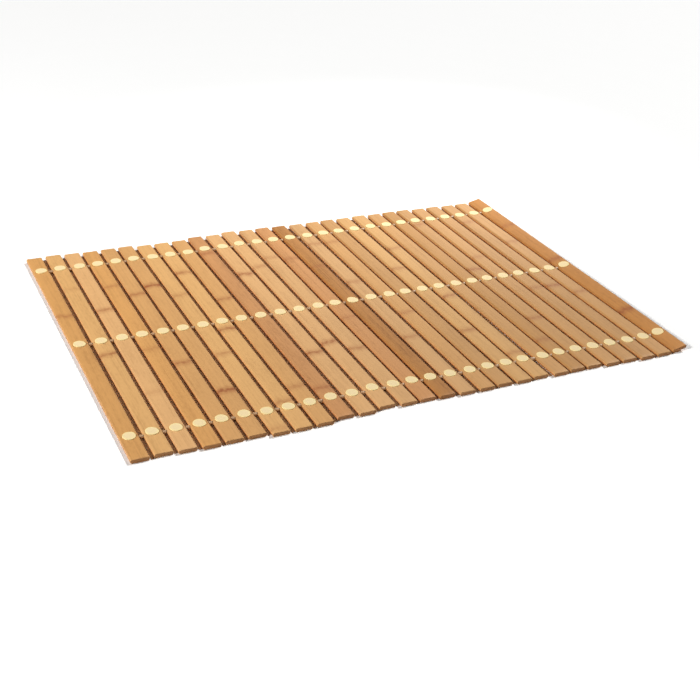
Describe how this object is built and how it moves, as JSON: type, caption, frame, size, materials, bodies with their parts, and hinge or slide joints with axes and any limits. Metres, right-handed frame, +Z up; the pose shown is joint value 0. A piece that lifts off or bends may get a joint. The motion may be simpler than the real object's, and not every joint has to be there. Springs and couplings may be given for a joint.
{
  "type": "slatted bath mat",
  "caption": "Flat bath mat of round-edged bamboo slats threaded side by side on cords, with spacer beads in the gaps and round pads glued on the slats.",
  "frame": {"origin": "middle of the mat's footprint, on the floor it lies on", "axes": "+X across the slats towards the slat that has rolled up, +Y along the slats towards the far end, +Z up"},
  "size_m": [0.7014, 0.509, 0.0098],
  "materials": {
    "bamboo": "satin clear lacquer on sanded bamboo",
    "cord": "twisted cord",
    "bead": "pale moulded plastic",
    "pad": "cream silicone, matt"
  },
  "bodies": {
    "root": {"slat_01": "bamboo", "slat_02": "bamboo", "slat_03": "bamboo", "slat_04": "bamboo", "slat_05": "bamboo", "slat_06": "bamboo", "slat_07": "bamboo", "slat_08": "bamboo", "slat_09": "bamboo", "slat_10": "bamboo", "slat_11": "bamboo", "slat_12": "bamboo", "slat_13": "bamboo", "slat_14": "bamboo", "slat_15": "bamboo", "slat_16": "bamboo", "slat_17": "bamboo", "slat_18": "bamboo", "slat_19": "bamboo", "slat_20": "bamboo", "slat_21": "bamboo", "slat_22": "bamboo", "slat_23": "bamboo", "slat_24": "bamboo", "slat_25": "bamboo", "slat_26": "bamboo", "slat_27": "bamboo", "slat_28": "bamboo", "cord_far": "cord", "cord_middle": "cord", "cord_near": "cord"}
  },
  "joints": []
}
